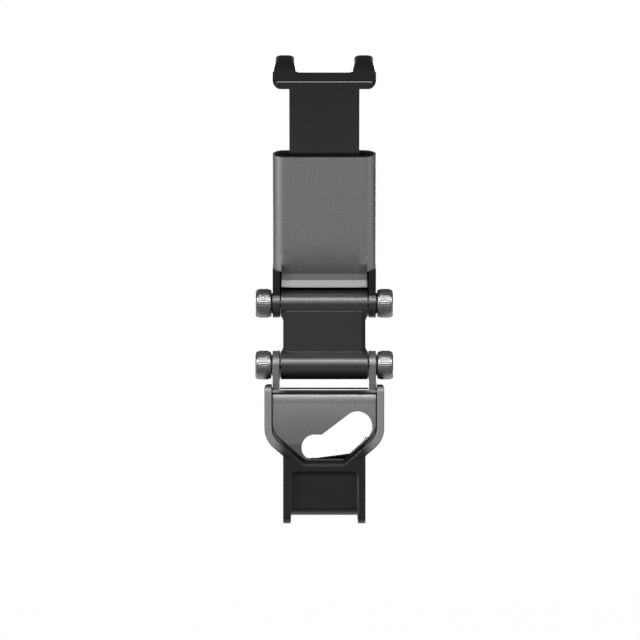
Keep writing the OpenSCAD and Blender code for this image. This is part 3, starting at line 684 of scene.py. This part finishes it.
def spring(node):
    """A round-wire coil where the CAD node's coil is, between the sleeve and the arm's ear."""
    low, high = (Vector(corner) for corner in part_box(node))
    mid = (low + high) / 2
    length = (high.z - low.z) / slide_axis.z * COIL_SHARE
    lean = Matrix.Rotation(clamp_lean, 3, "X")
    steps = TURNS * STEPS_A_TURN
    bm = bmesh.new()
    rings = []
    for i in range(steps + 1):
        turned = 2 * math.pi * TURNS * i / steps
        along = length * (i / steps - 0.5)
        ring = []
        for j in range(WIRE_SIDES):
            round_wire = 2 * math.pi * j / WIRE_SIDES
            reach = COIL_R + WIRE_R * math.cos(round_wire)
            rise = along + WIRE_R * math.sin(round_wire)
            point = Vector((reach * math.cos(turned), reach * math.sin(turned), rise))
            ring.append(bm.verts.new(mid + lean @ point))
        rings.append(ring)
    for one, two in zip(rings, rings[1:]):
        bridge(bm, one, two)
    bm.faces.new(reversed(rings[0]))
    bm.faces.new(rings[-1])
    piece = new_piece(bm, node + "_wire", degrees=60)
    piece.data.materials.append(MATERIALS["spring_steel"])
    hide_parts(node)
    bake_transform(piece)


for name in ("jaw_spring_left", "jaw_spring_right"):
    spring(name)


# The camera, by the photograph's framing: 640 pixels across, 0.324 mm a pixel at the object

PHOTO = 640
PIXEL = 0.324 * MM
PHOTO_MID_X = 324.3
PHOTO_LOW_Y = 523.4
CAMERA_RISE = 2.5
CAMERA_DISTANCE = 1.6
SENSOR = 36


def add_camera():
    target = Vector((
        (PHOTO / 2 - PHOTO_MID_X) * PIXEL,
        0,
        cad_low.z + (PHOTO_LOW_Y - PHOTO / 2) * PIXEL))
    rise = math.radians(CAMERA_RISE)
    back = Vector((0, -math.cos(rise), math.sin(rise)))
    camera = linked("camera", bpy.data.cameras.new("camera"))
    camera.location = target + back * CAMERA_DISTANCE
    camera.rotation_euler = (-back).to_track_quat("-Z", "Y").to_euler()
    camera.data.sensor_width = SENSOR
    camera.data.lens = SENSOR * CAMERA_DISTANCE / (PHOTO * PIXEL)
    camera.data.clip_start = 0.05
    camera.data.clip_end = 20
    bpy.context.scene.camera = camera


add_camera()


# Floor and backdrop

FLOOR_Z = cad_low.z - 0.055
FLOOR_HALF = 3.0
FLOOR_TONE = 0.03
# How bright the floor shows in gloss, by its place from in front of the object to behind it
GLOW_SPAN = (-0.5, 0.5)
FLOOR_GLOW = (
    (-0.45, 0.05), (-0.3, 0.2), (-0.21, 0.52), (-0.14, 0.22),
    (-0.05, 0.08), (0.0, 1.0), (0.15, 1.0), (0.3, 0.2))
# Distances from the object, each pair with what the glow changes from and to between them
GLOSS_FADE, GLOSS_LEFT = (0.35, 0.55), (1, 0.1)
CAMERA_FADE, CAMERA_PALE = (0.3, 1.2), (0.97, 1)
WORLD_LIGHT = 0.08


def pale_floor():
    """Pale to the camera and, near the object, in gloss; dark and matte to the lamps."""
    mat, tree, shader = material("pale floor")
    shader.inputs["Base Color"].default_value = (FLOOR_TONE, FLOOR_TONE, FLOOR_TONE, 1)
    shader.inputs["Roughness"].default_value = 0.9
    shader.inputs["Specular IOR Level"].default_value = 0.0
    path = tree.nodes.new("ShaderNodeLightPath").outputs
    where = coordinate(tree)
    reach = distance_to(tree, where, (0, 0, FLOOR_Z))
    along = map_range(tree, split(tree, where)["Y"], GLOW_SPAN)
    band = grey_ramp(tree, along, *[(y - GLOW_SPAN[0], glow) for y, glow in FLOOR_GLOW])
    near = map_range(tree, reach, GLOSS_FADE, GLOSS_LEFT)
    in_gloss = product(tree, near, band, path["Is Glossy Ray"])
    pale = map_range(tree, reach, CAMERA_FADE, CAMERA_PALE)
    glow = tree.nodes.new("ShaderNodeEmission")
    glow.inputs["Color"].default_value = (1, 1, 1, 1)
    shown = maths(tree, "MULTIPLY_ADD", path["Is Camera Ray"], pale, in_gloss)
    tree.links.new(shown, glow.inputs["Strength"])
    both = tree.nodes.new("ShaderNodeAddShader")
    tree.links.new(shader.outputs["BSDF"], both.inputs[0])
    tree.links.new(glow.outputs["Emission"], both.inputs[1])
    tree.links.new(both.outputs["Shader"], tree.nodes["Material Output"].inputs["Surface"])
    return mat


def add_floor():
    mesh = bpy.data.meshes.new("floor")
    square = ((-1, -1), (1, -1), (1, 1), (-1, 1))
    corners = [(x * FLOOR_HALF, y * FLOOR_HALF, FLOOR_Z) for x, y in square]
    mesh.from_pydata(corners, [], [(0, 1, 2, 3)])
    mesh.materials.append(pale_floor())
    piece = linked("floor", mesh)


def add_world():
    """White to the camera and dim to everything else."""
    world = bpy.data.worlds.new("studio")
    bpy.context.scene.world = world
    world.use_nodes = True
    nodes, links = world.node_tree.nodes, world.node_tree.links
    path = nodes.new("ShaderNodeLightPath")
    seen = nodes.new("ShaderNodeBackground")
    seen.inputs["Color"].default_value = (1, 1, 1, 1)
    lit = nodes["Background"]
    lit.inputs["Color"].default_value = (1, 1, 1, 1)
    lit.inputs["Strength"].default_value = WORLD_LIGHT
    either = nodes.new("ShaderNodeMixShader")
    links.new(path.outputs["Is Camera Ray"], either.inputs["Fac"])
    links.new(lit.outputs["Background"], either.inputs[1])
    links.new(seen.outputs["Background"], either.inputs[2])
    links.new(either.outputs["Shader"], nodes["World Output"].inputs["Surface"])


add_floor()
add_world()


# Lamps

middle = (cad_low + cad_high) / 2


def softbox(name, azimuth, elevation, distance, size, watts):
    """An area light aimed at the middle; azimuth 0 is the camera's side and 90 is +X."""
    data = bpy.data.lights.new(name, "AREA")
    data.shape = "RECTANGLE"
    data.size, data.size_y = size
    data.energy = watts
    lamp = linked(name, data)
    turn, rise = math.radians(azimuth), math.radians(elevation)
    level = math.cos(rise)
    way = Vector((math.sin(turn) * level, -math.cos(turn) * level, math.sin(rise)))
    lamp.location = middle + way * distance
    lamp.rotation_euler = way.to_track_quat("Z", "Y").to_euler()
    lamp.visible_camera = False


softbox("key above the front", azimuth=0, elevation=36, distance=0.8, size=(0.9, 0.16), watts=5.6)
softbox("upper front card", azimuth=0, elevation=14, distance=0.3, size=(0.5, 0.08), watts=0.2)
softbox("left side", azimuth=-56, elevation=0, distance=0.8, size=(0.09, 0.8), watts=8)
softbox("right side", azimuth=56, elevation=0, distance=0.8, size=(0.09, 0.8), watts=3)
softbox("back left", azimuth=-130, elevation=50, distance=1.0, size=(0.4, 0.4), watts=1.2)
softbox("back right", azimuth=130, elevation=50, distance=1.0, size=(0.4, 0.4), watts=1.2)
softbox("back wall", azimuth=180, elevation=5, distance=1.2, size=(1.2, 0.5), watts=10)

bpy.context.scene.view_settings.view_transform = "Standard"
